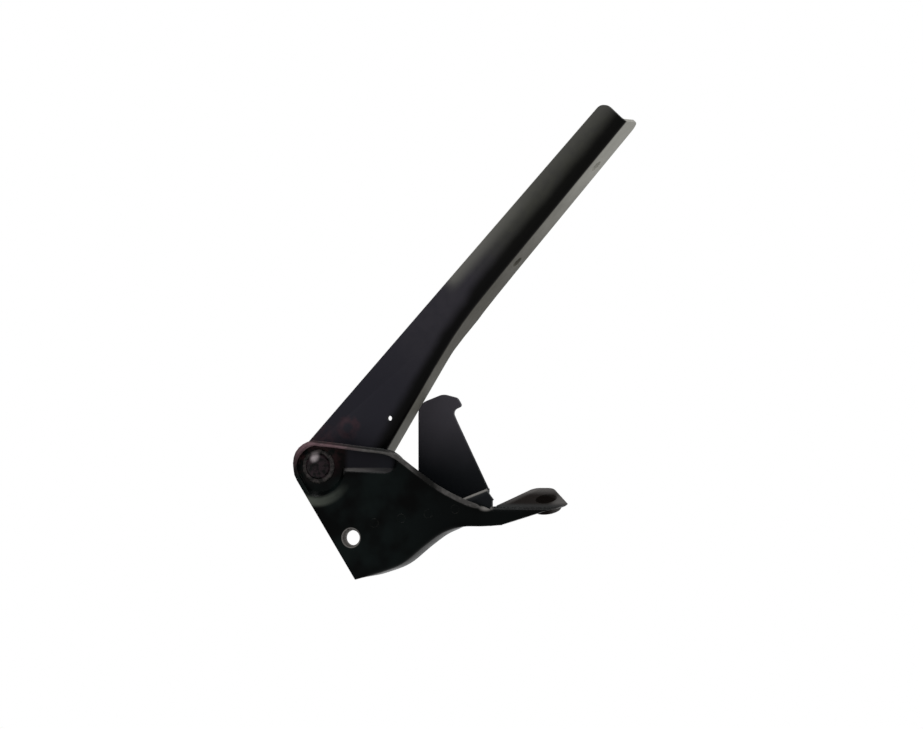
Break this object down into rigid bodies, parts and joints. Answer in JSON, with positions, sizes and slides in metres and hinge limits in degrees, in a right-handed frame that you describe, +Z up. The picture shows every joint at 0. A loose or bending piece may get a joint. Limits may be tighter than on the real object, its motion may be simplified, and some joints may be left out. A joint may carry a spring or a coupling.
{
  "type": "hood hinge",
  "caption": "Car hood hinge: a pressed base bracket with a hooked bracket behind it and a long L-section arm that swings on a rivet.",
  "frame": {"origin": "centre of the body bolt hole, on the rear face of the base bracket's plate", "axes": "+X to the foot's tip, +Y away from the front of the plate, +Z up with the arm raised"},
  "size_m": [0.2097, 0.0363, 0.2844],
  "materials": {
    "base_paint": "gloss black paint",
    "hook_paint": "satin black paint",
    "arm_paint": "satin black paint",
    "rivet_paint": "black paint, worn on the dome",
    "bush_bronze": "plain bearing bronze",
    "washer_paint": "satin black paint"
  },
  "bodies": {
    "base": {"base_bracket": "base_paint", "hook_bracket": "hook_paint", "pivot_rivet": "rivet_paint", "spacer_washer": "washer_paint", "rear_washer": "washer_paint"},
    "arm": {"hood_arm": "arm_paint", "pivot_bush": "bush_bronze"}
  },
  "joints": [
    {"name": "arm_pivot", "type": "hinge", "parent": "base", "child": "arm", "pos_m": [-0.022, 0.0051, 0.043], "axis": [0, 1, 0], "range_deg": [-20, 45]}
  ]
}
